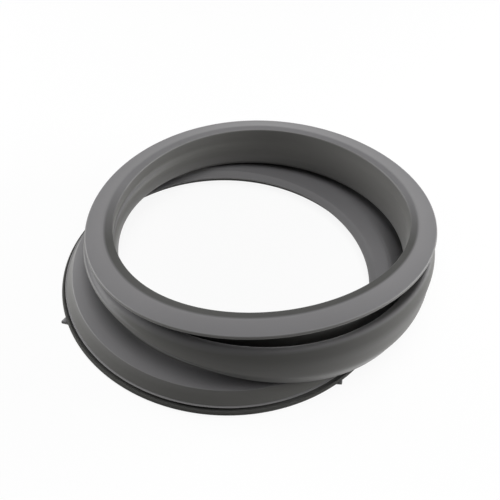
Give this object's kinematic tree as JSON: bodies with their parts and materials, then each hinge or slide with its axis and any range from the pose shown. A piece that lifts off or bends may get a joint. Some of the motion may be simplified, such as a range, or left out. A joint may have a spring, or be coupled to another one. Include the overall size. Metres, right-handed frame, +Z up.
{
  "type": "washing machine door seal",
  "caption": "Moulded rubber bellows seal between a front loading washing machine's door opening and its tub, lying flat on its tub collar.",
  "frame": {"origin": "on the floor under the seal, in the middle of its box", "axes": "+Z up, out of the tub collar towards the door lip; +X to the right and +Y to the back as the picture shows it"},
  "size_m": [0.3824, 0.3714, 0.1036],
  "materials": {
    "rubber": "matt moulded grey rubber with a soft sheen"
  },
  "bodies": {
    "root": {"door_seal": "rubber"}
  },
  "joints": []
}
